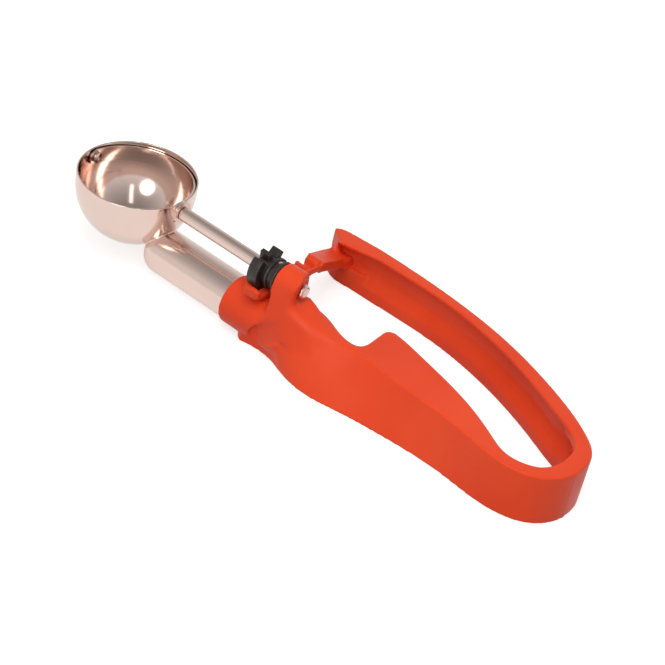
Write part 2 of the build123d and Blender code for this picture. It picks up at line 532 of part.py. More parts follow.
with BuildPart() as rack_arm:
    with BuildSketch(Plane.XY.offset(GUSSET_LOW_Z)) as arm_plan:
        with BuildLine():
            arm_front = ThreePointArc(on_arc(arm_front_radius, ARM_TIP_Y), on_arc(arm_front_radius, BOW_Y),
                                      on_arc(arm_front_radius, SHOULDER_Y))
            arm_root = Polyline(arm_front @ 1, ARM_ROOT_FRONT, ARM_JOIN_FRONT, ARM_JOIN_BACK)
            arm_back = Line(ARM_BACK[0], (ARM_BACK[1][0], ARM_TIP_Y))
            Spline(arm_root @ 1, ARM_ROOT_BACK, arm_back @ 0, tangents=[(-1, -0.2), (0.05, -1)])
            Line(arm_back @ 1, arm_front @ 0)
        make_face()
        fillet(arm_plan.vertices().group_by(Axis.Y)[0], ARM_TIP_ROUND)
    extrude(amount=ROD_AXIS_Z - GUSSET_LOW_Z)
    with BuildSketch(across(ARM_JOIN_FRONT[0])):
        with BuildLine():
            under = Line((ARM_TIP_Y + ARM_TIP_CORNER, arm_bottom), (arm_bend_y, arm_bottom))
            gusset = Spline(under @ 1, gusset_middle, (GUSSET_END_Y, gusset_low),
                            tangents=[(1, 0), (1, -0.6)])
            top_line = Polyline(gusset @ 1, (ARM_JOIN_FRONT[1], gusset_low), (ARM_JOIN_FRONT[1], lever_top),
                                (RAMP_END_Y, lever_top), (SHOULDER_END_Y, -SHOULDER_DROP),
                                (SHOULDER_Y, -SHOULDER_DROP), (SHOULDER_Y, -RACK_TIP_DROP),
                                (LIP_INNER_Y, -RACK_TIP_DROP), (LIP_INNER_Y, -LIP_DROP),
                                (ARM_TIP_Y, -LIP_DROP), (ARM_TIP_Y, arm_bottom + ARM_TIP_CORNER))
            TangentArc(top_line @ 1, under @ 0, tangent=(0, -1))
        make_face()
    extrude(amount=-2 * ARM_JOIN_FRONT[0], mode=Mode.INTERSECT)
    with BuildSketch(Plane.XY.offset(ROD_AXIS_Z - RIB_DROP)):
        with BuildLine():
            rib_front = ThreePointArc(on_arc(rib_front_radius, LIP_INNER_Y), on_arc(rib_front_radius, BOW_Y),
                                      on_arc(rib_front_radius, SHOULDER_END_Y))
            Polyline(rib_front @ 1, ((rib_front @ 1).X, RAMP_END_Y), (0, RAMP_END_Y), (0, LIP_INNER_Y),
                     rib_front @ 0)
        make_face()
    extrude(amount=RIB_DROP, mode=Mode.SUBTRACT)
    for k in range(TOOTH_COUNT):
        valley = rack_section(FIRST_TOOTH_Y + (k - 0.5) * TOOTH_PITCH)
        with BuildSketch(valley.offset(0.5 * GEAR_WIDTH + RIB_GAP)):
            with BuildLine():
                Polyline((-valley_bottom_half, -RACK_VALLEY_DROP), (valley_bottom_half, -RACK_VALLEY_DROP),
                         (valley_top_half, -RACK_TIP_DROP), (-valley_top_half, -RACK_TIP_DROP), close=True)
            make_face()
        extrude(amount=-2 * GEAR_WIDTH, mode=Mode.SUBTRACT)
    with BuildSketch(rack_section(FIRST_TOOTH_Y - 0.5 * TOOTH_PITCH).offset(0.5 * GEAR_WIDTH + RIB_GAP)):
        with BuildLine():
            Polyline((0, -RACK_VALLEY_DROP), (0, 0), (LIP_INNER_Y - FIRST_TOOTH_Y + 0.5 * TOOTH_PITCH, 0),
                     (LIP_INNER_Y - FIRST_TOOTH_Y + 0.5 * TOOTH_PITCH, -RACK_VALLEY_DROP), close=True)
        make_face()
    extrude(amount=-2 * GEAR_WIDTH, mode=Mode.SUBTRACT)

# ---- squeeze lever: rear bow, channel-shaped lever and the rack arm ----
with BuildLine() as lever_plan:
    lever_back = through([(BOW_OUTER_X, BOW_Y), *LEVER_OUTSIDE], (0, 1), (-1, 0))
    lever_nose = Polyline(lever_back @ 1, *LEVER_NOSE, LEVER_INSIDE[-1])
    lever_inside = through([*reversed(LEVER_INSIDE), (BOW_INNER_X, BOW_Y)], (1, 0), (0, -1))
    ThreePointArc(lever_inside @ 1, (HINGE_X, BOW_Y - BOW_HALF), lever_back @ 0)

channel_back = beside(lever_back, CHANNEL_WEB, CHANNEL_SHARE)
lip_inside = beside(lever_inside, LOWER_LIP_SETBACK, 0, LIP_SHARE)
beyond_inside = beside(lever_inside, -BOW_HALF, 0, LIP_SHARE)
nose_x = LEVER_NOSE[2][0]
with BuildPart() as squeeze_lever:
    with BuildSketch(Plane.XY):
        add(lever_plan.line)
        make_face()
    extrude(amount=HANDLE_HEIGHT)
    with BuildSketch(Plane.XY.offset(BOTTOM_LIP)):
        with BuildLine():
            groove = through([CHANNEL_START, *channel_back], (0.3, 1), (-1, 0))
            groove_front = Polyline(groove @ 1, (CHANNEL_FRONT_X, channel_back[-1].Y),
                                    (CHANNEL_FRONT_X, beyond_inside[0].Y), beyond_inside[0])
            through([*beyond_inside, CHANNEL_START], (1, 0), (0.3, 1))
        make_face()
    extrude(amount=HANDLE_HEIGHT - TOP_LIP - BOTTOM_LIP, mode=Mode.SUBTRACT)
    with BuildSketch(Plane.XY):
        with BuildLine():
            lip = through([*lip_inside, LIP_END], (1, 0), (0, -1))
            lip_back = through([LIP_END, *reversed(beyond_inside)], (-1, 1), (-1, 0))
            Polyline(lip_back @ 1, (nose_x, LEVER_NOSE[-1][1] - BOW_HALF), (nose_x, lip_inside[0].Y), lip @ 0)
        make_face()
    extrude(amount=BOTTOM_LIP, mode=Mode.SUBTRACT)
    with BuildSketch(lengthwise(0, 0)):
        with BuildLine():
            slope = Spline((-NOSE_HEEL_X, 0), (-NOSE_BEND[0], NOSE_BEND[1]), (-nose_x, NOSE_UPRIGHT_Z),
                           tangents=[(1, 0.3), (0.15, 1)])
            Polyline(slope @ 1, (-2 * nose_x, NOSE_UPRIGHT_Z), (-2 * nose_x, 0), slope @ 0)
        make_face()
    extrude(amount=LEVER_NOSE[0][1] + HANDLE_HEIGHT, mode=Mode.SUBTRACT)
    add(rack_arm.part)
squeeze_lever.part.label = "squeeze_lever"
export_step(squeeze_lever.part, "parts/squeeze_lever.step")
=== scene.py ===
# %% [markdown]
# # A squeeze-lever ice cream scoop
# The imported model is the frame: ten solid pieces in metres, with +X from the bowl to the back of the
# handle, +Y towards the lever and +Z up. Here each visible piece gets its real surface. A piece whose
# solid is plain is made again on top of it, rides on the same body and takes its place in the picture.

from math import atan, cos, degrees, pi, radians, sin, sqrt

import bmesh
import bpy
from mathutils import Matrix, Vector
from mathutils.bvhtree import BVHTree


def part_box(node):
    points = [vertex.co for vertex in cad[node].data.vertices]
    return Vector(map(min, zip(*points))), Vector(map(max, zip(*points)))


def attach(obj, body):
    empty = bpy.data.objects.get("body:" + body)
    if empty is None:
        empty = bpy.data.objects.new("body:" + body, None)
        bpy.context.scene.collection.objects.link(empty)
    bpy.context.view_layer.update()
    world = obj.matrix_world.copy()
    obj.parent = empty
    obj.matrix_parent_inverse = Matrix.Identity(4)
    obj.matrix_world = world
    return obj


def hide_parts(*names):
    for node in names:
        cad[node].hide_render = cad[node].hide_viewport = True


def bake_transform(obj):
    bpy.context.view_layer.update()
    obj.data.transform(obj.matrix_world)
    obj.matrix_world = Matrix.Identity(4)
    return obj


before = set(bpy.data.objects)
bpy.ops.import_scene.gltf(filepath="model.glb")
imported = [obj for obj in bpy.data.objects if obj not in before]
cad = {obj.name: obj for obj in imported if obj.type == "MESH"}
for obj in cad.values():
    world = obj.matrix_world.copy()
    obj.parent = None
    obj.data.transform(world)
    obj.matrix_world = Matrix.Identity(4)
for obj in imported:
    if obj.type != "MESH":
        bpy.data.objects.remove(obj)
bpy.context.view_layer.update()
MM = 0.001

# %% [markdown]
# ## Measures taken from the frame
# The bowl's centre and rim and the axes of stem and rod are read from the boxes of the imported nodes, so the
# pieces made here land where the solids are. What a box can't tell, such as the bowl's lean and the handle's
# height, has the value that the solids were built with.

# %% Measures
bowl_low, bowl_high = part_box("bowl")
stem_low, stem_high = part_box("stem_tube")
rod_low, rod_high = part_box("scraper_rod")
wheel_low, wheel_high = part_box("pinion")
lever_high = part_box("squeeze_lever")[1]

BOWL_RADIUS = 0.5 * (bowl_high.x - bowl_low.x)
BOWL_CENTRE = Vector((0.5 * (bowl_low.x + bowl_high.x), 0, bowl_low.z + BOWL_RADIUS))
BOWL_LEAN = radians(3.5)
BOWL_AXIS = Vector((0, -sin(BOWL_LEAN), cos(BOWL_LEAN)))
BOWL_RIM = (bowl_high.z - BOWL_CENTRE.z - BOWL_RADIUS * sin(BOWL_LEAN)) / cos(BOWL_LEAN)
STEM_RADIUS = 0.5 * (stem_high.z - stem_low.z)
STEM_AXIS = Vector((stem_low.x, 0, 0.5 * (stem_low.z + stem_high.z)))
ROD_AXIS_Z = 0.5 * (rod_low.z + rod_high.z)
ROD_RADIUS = 3.0 * MM
HANDLE_HEIGHT = 22.6 * MM
rod_start = Vector((0, 0, ROD_AXIS_Z))
print("bowl centre", BOWL_CENTRE, "radius", round(BOWL_RADIUS / MM, 2), "rim", round(BOWL_RIM / MM, 2))

# %% [markdown]
# ## The camera
# A long lens from over the right shoulder of the bowl: the same view in which such a scoop is sold. The
# view is given by two angles, a roll, a distance and the place in the frame of the bowl's centre, because
# each of these can be changed alone.

# %% Camera
FRAME_SIZE = 665
FOCAL_PIXELS = 2400.0
SENSOR = 36.0
VIEW_AZIMUTH, VIEW_ELEVATION, VIEW_ROLL = radians(31.81), radians(32.86), radians(14.69)
VIEW_DISTANCE = 1.01386
BOWL_AT = (136.63, 183.13)
CLIP_NEAR, CLIP_FAR = 0.05, 20.0

side = Vector((cos(VIEW_AZIMUTH), sin(VIEW_AZIMUTH), 0))
back = Vector((sin(VIEW_AZIMUTH) * cos(VIEW_ELEVATION), -cos(VIEW_AZIMUTH) * cos(VIEW_ELEVATION),
               sin(VIEW_ELEVATION)))
rise = back.cross(side)
right = side * cos(VIEW_ROLL) + rise * sin(VIEW_ROLL)
up = rise * cos(VIEW_ROLL) - side * sin(VIEW_ROLL)
per_pixel = VIEW_DISTANCE / FOCAL_PIXELS
view_place = (BOWL_CENTRE - right * (BOWL_AT[0] - FRAME_SIZE / 2) * per_pixel
              + up * (BOWL_AT[1] - FRAME_SIZE / 2) * per_pixel + back * VIEW_DISTANCE)

lens = bpy.data.cameras.new("camera")
lens.sensor_width = SENSOR
lens.lens = FOCAL_PIXELS / FRAME_SIZE * SENSOR
lens.clip_start, lens.clip_end = CLIP_NEAR, CLIP_FAR
camera = bpy.data.objects.new("camera", lens)
bpy.context.scene.collection.objects.link(camera)
camera.matrix_world = Matrix((right, up, back)).transposed().to_4x4()
camera.location = view_place
bpy.context.scene.camera = camera
print("lens", round(lens.lens, 1), "mm, eye at", [round(c, 3) for c in view_place])

# %% [markdown]
# ## Small tools for meshes
# A finished piece is one object at the origin with its place in its mesh, so these helpers make meshes in
# their final place. Modifiers are used to shape a piece and then turned into plain mesh.

# %% Mesh tools
MERGE = 0.002 * MM
BEVEL = 0.25 * MM
BEVEL_FROM = radians(25)
BEVEL_STEPS = 3
ALONG_X = (1, 0, 0)


def link(name, mesh):
    """A new object at the origin that holds the mesh."""
    piece = bpy.data.objects.new(name, mesh)
    bpy.context.scene.collection.objects.link(piece)
    return piece


def baked(piece):
    """Turns the piece's modifiers into plain mesh."""
    graph = bpy.context.evaluated_depsgraph_get()
    mesh = bpy.data.meshes.new_from_object(piece.evaluated_get(graph))
    piece.modifiers.clear()
    piece.data = mesh
    return piece


def to_piece(bm, name, smooth=True):
    """Makes an object from a bmesh."""
    mesh = bpy.data.meshes.new(name)
    bm.to_mesh(mesh)
    bm.free()
    for face in mesh.polygons:
        face.use_smooth = smooth
    return link(name, mesh)


def merged_copy(name):
    """A bmesh with a copy of a CAD node, its loose triangles joined."""
    bm = bmesh.new()
    bm.from_mesh(cad[name].data)
    bmesh.ops.remove_doubles(bm, verts=bm.verts, dist=MERGE)
    return bm


def cut(bm, point, normal, gone):
    """Cuts the mesh at a plane, deletes the faces for which gone(centre) is true and closes the holes."""
    bmesh.ops.bisect_plane(bm, geom=bm.verts[:] + bm.edges[:] + bm.faces[:], plane_co=point,
                           plane_no=normal, dist=MERGE)
    doomed = [face for face in bm.faces if gone(face.calc_center_median())]
    bmesh.ops.delete(bm, geom=doomed, context="FACES")
    bmesh.ops.holes_fill(bm, edges=[edge for edge in bm.edges if edge.is_boundary])


def lathe(profile, origin, axis, steps):
    """A bmesh turned round an axis from a profile of (along, radius) pairs that starts and ends on it."""
    bm = bmesh.new()
    axis = Vector(axis)
    across = axis.orthogonal().normalized()
    verts = [bm.verts.new(origin + axis * along + across * radius) for along, radius in profile]
    edges = [bm.edges.new(pair) for pair in zip(verts, verts[1:])]
    bmesh.ops.spin(bm, geom=verts + edges, cent=origin, axis=axis, angle=2 * pi, steps=steps)
    bmesh.ops.remove_doubles(bm, verts=bm.verts, dist=MERGE)
    bmesh.ops.recalc_face_normals(bm, faces=bm.faces)
    return bm


def arc(centre, radii, start, end, steps):
    """Points (along, radius) on an elliptical arc; angle 0 is along the axis, 90 degrees is away from it."""
    turns = [radians(start + (end - start) * k / steps) for k in range(steps + 1)]
    return [(centre[0] + radii[0] * cos(t), centre[1] + radii[1] * sin(t)) for t in turns]


def cylinder(name, start, end, radius, origin, steps):
    """A closed cylinder from one X to another, round the line along X through the origin given."""
    profile = [(start, 0), (start, radius), (end, radius), (end, 0)]
    return to_piece(lathe(profile, origin, ALONG_X, steps), name)


def cut_from(piece, tool):
    """Takes the tool's volume out of the piece and removes the tool."""
    knife = piece.modifiers.new("cut", "BOOLEAN")
    knife.operation = "DIFFERENCE"
    knife.solver = "EXACT"
    knife.object = tool
    baked(piece)
    bpy.data.objects.remove(tool)
    return piece


def keep_edges(piece, angle):
    """Smooth shading with sharp edges where faces meet at more than an angle in degrees."""
    for face in piece.data.polygons:
        face.use_smooth = True
    piece.data.set_sharp_from_angle(angle=radians(angle))
    return piece


def joined(name, parts):
    """One piece from several."""
    bm = bmesh.new()
    for part in parts:
        bm.from_mesh(part.data)
        bpy.data.objects.remove(part)
    return to_piece(bm, name)


def prism(name, outline, start, width):
    """A solid along X from an outline of (Y, Z) points, its edges bevelled."""
    bm = bmesh.new()
    near = [bm.verts.new((start, y, z)) for y, z in outline]
    far = [bm.verts.new((start + width, y, z)) for y, z in outline]
    bm.faces.new(near)
    bm.faces.new(far)
    for k in range(len(outline)):
        bm.faces.new((near[k - 1], near[k], far[k], far[k - 1]))
    bmesh.ops.recalc_face_normals(bm, faces=bm.faces)
    sharp = [e for e in bm.edges if e.calc_face_angle(0) > BEVEL_FROM]
    bmesh.ops.bevel(bm, geom=sharp, offset=BEVEL, segments=BEVEL_STEPS, profile=0.5, affect="EDGES")
    return to_piece(bm, name)


print("corners closer than", MERGE / MM, "mm are joined, prisms are bevelled by", BEVEL / MM, "mm")

# %% [markdown]
# ## Small tools for materials
# Every finish is a Principled shader. What is the same all over is set on the shader itself; colour
# variation, roughness and fine relief come from noise in Object coordinates, so they stay on the piece.

# %% Material tools
def new_material(name, **values):
    """A material with a Principled shader, its plain values set on the shader's own sockets."""
    material = bpy.data.materials.new(name)
    material.use_nodes = True
    shader = material.node_tree.nodes["Principled BSDF"]
    for socket, value in values.items():
        shader.inputs[socket.replace("_", " ")].default_value = value
    return material, material.node_tree, shader


def add(tree, kind, links=(), **settings):
    """A node of that kind; links are (input, output socket or value) pairs."""
    node = tree.nodes.new(kind)
    for key, value in settings.items():
        setattr(node, key, value)
    for name, source in links:
        if isinstance(source, bpy.types.NodeSocket):
            tree.links.new(source, node.inputs[name])
        else:
            node.inputs[name].default_value = source
    return node


def places(tree):
    """Object coordinates."""
    return add(tree, "ShaderNodeTexCoord").outputs["Object"]


def noise(tree, where, scale, detail=3.0, stretch=None):
    """Noise from 0 to 1; stretch multiplies the coordinates first, so a small value draws it out."""
    if stretch:
        where = add(tree, "ShaderNodeMapping", [("Vector", where), ("Scale", stretch)]).outputs["Vector"]
    node = add(tree, "ShaderNodeTexNoise", [("Vector", where), ("Scale", scale), ("Detail", detail)])
    return node.outputs["Fac"]


def spread(tree, value, low, high, span=(0.3, 0.7)):
    """Maps noise to a range of values."""
    node = add(tree, "ShaderNodeMapRange", [("Value", value), ("From Min", span[0]), ("From Max", span[1]),
                                            ("To Min", low), ("To Max", high)])
    return node.outputs["Result"]


def between(tree, share, one, other):
    """A colour between two, by a share from 0 to 1."""
    node = add(tree, "ShaderNodeMix", data_type="RGBA")
    tree.links.new(share, node.inputs["Factor"])
    node.inputs["A"].default_value = (*one, 1)
    node.inputs["B"].default_value = (*other, 1)
    return node.outputs["Result"]


def drifting_colour(tree, shader, clouds, one, other):
    """A base colour that drifts between two with the noise given."""
    tree.links.new(between(tree, spread(tree, clouds, 0.0, 1.0), one, other), shader.inputs["Base Color"])


def uneven_gloss(tree, shader, marks, span):
    """A roughness that varies over a span with the noise given."""
    tree.links.new(spread(tree, marks, *span), shader.inputs["Roughness"])


def relief(tree, shader, height, depth, strength):
    """Fine relief of a real depth in metres."""
    bump = add(tree, "ShaderNodeBump", [("Height", height), ("Distance", depth), ("Strength", strength)])
    tree.links.new(bump.outputs["Normal"], shader.inputs["Normal"])


def dress(piece, material):
    """Gives the piece this one material."""
    piece.data.materials.clear()
    piece.data.materials.append(material)
    return piece


# %% [markdown]
# ## Finishes
# The handle is one moulding of smooth orange plastic with the soft gloss of a polished mould. The colour
# drifts a little, as pigment does, and the gloss is broken by a faint swell and by handling. The scales of
# the noises are in waves per metre: tens for clouds of colour, thousands for grain.

# %% Orange plastic
ORANGE_DEEP = (0.75, 0.053, 0.012)
ORANGE_BRIGHT = (0.83, 0.074, 0.020)
ORANGE_GLOSS = (0.34, 0.46)
PIGMENT_SCALE, RUBBED_SCALE, SWELL_SCALE, GRAIN_SCALE = 22.0, 60.0, 90.0, 2600.0
ORANGE_RELIEF = 0.03 * MM


def orange_plastic():
    material, tree, shader = new_material("orange_plastic", IOR=1.46, Specular_IOR_Level=0.22)
    where = places(tree)
    drifting_colour(tree, shader, noise(tree, where, PIGMENT_SCALE), ORANGE_DEEP, ORANGE_BRIGHT)
    uneven_gloss(tree, shader, noise(tree, where, RUBBED_SCALE, 6.0), ORANGE_GLOSS)
    swell = noise(tree, where, SWELL_SCALE, 2.0)
    grain = noise(tree, where, GRAIN_SCALE, 2.0)
    both = add(tree, "ShaderNodeMath", [(0, swell), (1, grain)], operation="ADD").outputs[0]
    relief(tree, shader, both, ORANGE_RELIEF, 0.35)
    return material


orange = orange_plastic()
print("material:", orange.name)

# %% [markdown]
# The pinion is satin black nylon: nearly black, with a dry grain and slightly greyer where it rubs.

# %% Black nylon
NYLON_DARK, NYLON_RUBBED = (0.012, 0.007, 0.006), (0.034, 0.022, 0.019)
NYLON_GLOSS = (0.30, 0.50)
NYLON_RELIEF = 0.02 * MM


def black_nylon():
    material, tree, shader = new_material("black_nylon", IOR=1.53)
    where = places(tree)
    drifting_colour(tree, shader, noise(tree, where, 260.0, 5.0), NYLON_DARK, NYLON_RUBBED)
    uneven_gloss(tree, shader, noise(tree, where, 400.0, 4.0), NYLON_GLOSS)
    relief(tree, shader, noise(tree, where, 3000.0, 3.0), NYLON_RELIEF, 0.5)
    return material


black = black_nylon()
print("material:", black.name)

# %% [markdown]
# The bowl is spun and polished steel, so what is left of its making are very fine rings round its axis.
# Noise is read at (distance from the axis, height), which is the same all round, and gives those rings.

# %% Spun steel of the bowl
STEEL_WARM = (0.82, 0.62, 0.54)
STEEL_COOL = (0.77, 0.61, 0.55)
SPUN_GLOSS = (0.10, 0.17)
SPUN_RELIEF = 0.004 * MM


def spun_steel():
    material, tree, shader = new_material("spun_steel", Metallic=1.0)
    where = places(tree)
    centred = add(tree, "ShaderNodeMapping", [("Vector", where), ("Location", -BOWL_CENTRE)])
    parts = add(tree, "ShaderNodeSeparateXYZ", [("Vector", centred.outputs["Vector"])])
    flat = add(tree, "ShaderNodeCombineXYZ", [("X", parts.outputs["X"]), ("Y", parts.outputs["Y"])])
    reach = add(tree, "ShaderNodeVectorMath", [(0, flat.outputs["Vector"])], operation="LENGTH")
    ring = add(tree, "ShaderNodeCombineXYZ", [("X", reach.outputs["Value"]), ("Z", parts.outputs["Z"])])
    rings = noise(tree, ring.outputs["Vector"], 2200.0, 4.0)
    drifting_colour(tree, shader, noise(tree, where, 70.0, 4.0), STEEL_WARM, STEEL_COOL)
    uneven_gloss(tree, shader, rings, SPUN_GLOSS)
    relief(tree, shader, rings, SPUN_RELIEF, 0.25)
    return material


bowl_steel = spun_steel()
print("material:", bowl_steel.name)

# %% [markdown]
# Stem and rod are drawn and polished along their length, so their lines run along X: the same noise, drawn
# out some eighty times in that direction. Small parts have no such direction, so theirs isn't drawn out.

# %% Drawn steel
DRAWN_OUT, NOT_DRAWN_OUT = (0.012, 1.0, 1.0), (1.0, 1.0, 1.0)
TUBE_RELIEF, ROD_RELIEF = 0.006 * MM, 0.001 * MM


def drawn_steel(name, gloss, stretch, depth):
    material, tree, shader = new_material(name, Metallic=1.0)
    where = places(tree)
    lines = noise(tree, where, 1500.0, 5.0, stretch)
    drifting_colour(tree, shader, noise(tree, where, 60.0, 4.0), STEEL_WARM, STEEL_COOL)
    uneven_gloss(tree, shader, lines, gloss)
    relief(tree, shader, lines, depth, 0.35)
    return material


tube_steel = drawn_steel("drawn_steel_tube", (0.14, 0.24), DRAWN_OUT, TUBE_RELIEF)
rod_steel = drawn_steel("drawn_steel_rod", (0.20, 0.34), DRAWN_OUT, ROD_RELIEF)
small_steel = drawn_steel("small_steel_parts", (0.16, 0.30), NOT_DRAWN_OUT, TUBE_RELIEF)
print("materials:", [m.name for m in bpy.data.materials])

# %% [markdown]
# ## The moulded handle
# Grip, rear bow and lever are one moulding, and the bow is the spring. The solids keep grip and lever apart
# by a thin slit, because they move as two bodies. The visible skin closes that slit: the solids are joined
# by a small block in the bow and remeshed into one even mesh, whose edges are then rubbed round as they
# leave a mould. The skin is cut into shells that share their shading.
#
# Bevels would need clean edges, which the booleans don't leave, so the edges are rubbed by smoothing the
# whole mesh a little. Where forms flow into each other, a second and much longer smoothing works in a few
# soft spots, and it stays away from the pocket of the rod.

# %% Skin tools
SMOOTHING = 0.5
SOFT_ROUNDS = 240
# the centre of each soft spot and its reach, in mm
SOFT_SPOTS = [((3.0, -5.0, 22.0), 12.0), ((-3.0, -8.5, 25.0), 11.0), ((-16.0, -8.5, 22.0), 8.0),
              ((-30.0, 60.0, 16.0), 5.0)]
ROD_POCKET = 4.9 * MM
SLIT_WALLS_Y = [7.0 * MM, 9.0 * MM, 12.8 * MM]
BEHIND_BOW_X, INSIDE_BOW_X = lever_high.x + 10 * MM, 112 * MM


def softness(point):
    """How freely a point of the skin gives way, 0 to 1: most in the soft spots, not at all round the rod."""
    pocket = sqrt(point.y ** 2 + (point.z - ROD_AXIS_Z) ** 2) / ROD_POCKET - 1
    near = max(1 - (point / MM - Vector(spot)).length / reach for spot, reach in SOFT_SPOTS)
    return min(1, max(0, 2 * near)) * min(1, max(0, 3 * pocket))


def smoothing(piece, name, rounds):
    """A modifier that smooths the piece in that many rounds."""
    smooth = piece.modifiers.new(name, "SMOOTH")
    smooth.factor = SMOOTHING
    smooth.iterations = rounds
    return smooth


def moulded(bm, name, face, rounds):
    """Remeshes a closed mesh to even faces of that size and rubs its edges round."""
    piece = to_piece(bm, name)
    remesh = piece.modifiers.new("even faces", "REMESH")
    remesh.mode = "VOXEL"
    remesh.voxel_size = face
    remesh.use_smooth_shade = True
    smoothing(piece, "rubbed edges", rounds)
    baked(piece)
    soft = piece.vertex_groups.new(name="soft")
    for vert in piece.data.vertices:
        soft.add([vert.index], softness(vert.co), "REPLACE")
    smoothing(piece, "flowing forms", SOFT_ROUNDS).vertex_group = "soft"
    baked(piece)
    piece.vertex_groups.clear()
    normals = piece.data.attributes.new("whole_normal", "FLOAT_VECTOR", "POINT")
    normals.data.foreach_set("vector", [c for n in piece.data.vertex_normals for c in n.vector])
    print(name, "faces:", len(piece.data.polygons))
    return piece


def shell_of(whole, name, cuts):
    """A closed part of a moulded mesh that keeps the whole mesh's shading; cuts are as cut() takes them."""
    bm = bmesh.new()
    bm.from_mesh(whole.data)
    for point, normal, gone in cuts:
        cut(bm, point, normal, gone)
    layer = bm.verts.layers.float_vector["whole_normal"]
    normals = [v[layer].normalized() for v in bm.verts]
    piece = to_piece(bm, name)
    piece.data.normals_split_custom_set_from_vertices(normals)
    piece.data.attributes.remove(piece.data.attributes["whole_normal"])
    return dress(piece, orange)


def bow_block(bm):
    """Adds the block that fills the slit between grip and lever, as wide as the bow's own walls there."""
    tree = BVHTree.FromBMesh(bm)

    def wall(x, y, way):
        return tree.ray_cast(Vector((x, y, 0.5 * HANDLE_HEIGHT)), Vector((way, 0, 0)))[0]

    outline = [wall(BEHIND_BOW_X, y, -1) for y in SLIT_WALLS_Y]
    outline += [wall(INSIDE_BOW_X, y, 1) for y in reversed(SLIT_WALLS_Y)]
    low = [bm.verts.new((p.x, p.y, 0)) for p in outline]
    high = [bm.verts.new((p.x, p.y, HANDLE_HEIGHT)) for p in outline]
    new = [bm.faces.new(low), bm.faces.new(high)]
    for k in range(len(outline)):
        n = (k + 1) % len(outline)
        new.append(bm.faces.new((low[k], low[n], high[n], high[k])))
    bmesh.ops.recalc_face_normals(bm, faces=new)


print("the rubbed edges give way in", len(SOFT_SPOTS), "soft spots")

# %% [markdown]
# Some forms of the moulding are finer than the solids have them. They are small solids through a few
# sections, added to the copies or cut from them before the remesh, so that the rubbing blends them in.

# %% Solids through sections
def solid(name, sections):
    """A closed solid through sections with as many corners each, one after the other, in mm."""
    bm = bmesh.new()
    rings = [[bm.verts.new(Vector(corner) * MM) for corner in section] for section in sections]
    for one, other in zip(rings, rings[1:]):
        for k in range(len(one)):
            bm.faces.new((one[k - 1], one[k], other[k], other[k - 1]))
    bm.faces.new(rings[0])
    bm.faces.new(rings[-1])
    bmesh.ops.recalc_face_normals(bm, faces=bm.faces)
    return to_piece(bm, name)


def plate(name, corners, low, high):
    """A closed upright prism over plan corners, in mm."""
    return solid(name, [[(*corner, low) for corner in corners], [(*corner, high) for corner in corners]])


def across_arm(y, front, behind, low, high):
    """A section across the arm, in mm."""
    return [(front, y, low), (behind, y, low), (behind, y, high), (front, y, high)]


def across_grip(x, outer, inner, low, high):
    """A section across the grip that leans in towards its top, in mm; outer and inner are (low, high)."""
    return [(x, outer[0], low), (x, inner[0], low), (x, inner[1], high), (x, outer[1], high)]


# %% [markdown]
# On the lever, the arm falls as a ramp from the rack to the lever, in place of the solid's plain block. The
# channel has a thin upper lip and a shelf that slopes from the wall down to the lower lip, and the lever's
# nose has a small foot. The rows below are heights and places along the curved lever, because a channel
# that follows a curve is easiest to give as sections.

# %% Finer forms of the lever, in mm
# x, then the y there of the top lip's edge, of the lower lip's edge and of the channel's wall
LEVER_ROWS = [(-26, 62.6, 63.8, 67.4), (-13, 63.1, 63.8, 67.5), (0, 63.2, 64.0, 67.3), (13, 63.3, 63.9, 66.7),
              (26, 62.6, 63.2, 65.5), (39, 60.7, 61.3, 63.8), (51, 58.0, 58.6, 61.5), (63, 54.3, 55.1, 58.3),
              (75, 49.9, 50.8, 54.5), (87, 44.8, 45.6, 49.8), (99, 39.2, 40.1, 44.4), (108, 34.8, 35.3, 39.8),
              (113, 31.2, 31.9, 36.8)]
INNER_ROWS = LEVER_ROWS[1:-1]
THIN_LIP_LOW, THIN_LIP_Z = 18.5, 20.8
SHELF_LOW, SHELF_HIGH = 5.0, 12.0
CORNER_TOP = 9.8
SLOPE_FROM, SLOPE_TO, INTO_WALL = 8.8, 12.6, 0.6
# y, front x, rear x, low z and high z of the ramp's sections
RAMP_ROWS = [(32.0, -29.4, -20.7, 21.2, 24.0), (34.8, -30, -21.2, 20.6, 25.5), (47, -33.4, -24.0, 15.8, 20.6),
             (59, -36.8, -27.0, 10.8, 15.8), (66.5, -38.4, -27.0, 8.0, 13.6)]
# corners in plan and two heights: of the room in front of the lever, of the room in its channel, of the foot
FRONT_ROOM = [(-60, -20), (-7, -20), (-7, 63.0), (-13, 63.0), (-31, 58.7), (-39.7, 65.3), (-60, 65.3)], -5, 40
CHANNEL_ROOM = [(-33, 50), (-12, 50), (-12, 66.8), (-25, 66.8), (-33, 65.6)], 9.5, 20.6
NOSE_FOOT = [(-18, 64.5), (-27, 63.3), (-32, 63.0), (-36, 64.3), (-38.8, 66), (-37.4, 67.4), (-34, 68.3),
             (-18, 66.5)], 0, 9.3
RACK_END_Y = 32.2 * MM


def along_lever(name, section, rows):
    """A solid along the channel; section gives (y, z) corners from the y of the lips' edges and the wall."""
    return solid(name, [[(x, y, z) for y, z in section(edge, lip, wall)] for x, edge, lip, wall in rows])


def shelf_y(lip, wall, z):
    """Where the sloping shelf is at a height, from the lower lip's edge up to the wall."""
    return lip + (wall - lip) * (z - SHELF_LOW) / (SHELF_HIGH - SHELF_LOW)


def under_lip(edge, lip, wall):
    """The room under the thin lip, which the solid's thick lip fills."""
    return [(edge - 4, THIN_LIP_LOW), (wall, THIN_LIP_LOW), (wall, THIN_LIP_Z), (edge - 4, THIN_LIP_Z)]


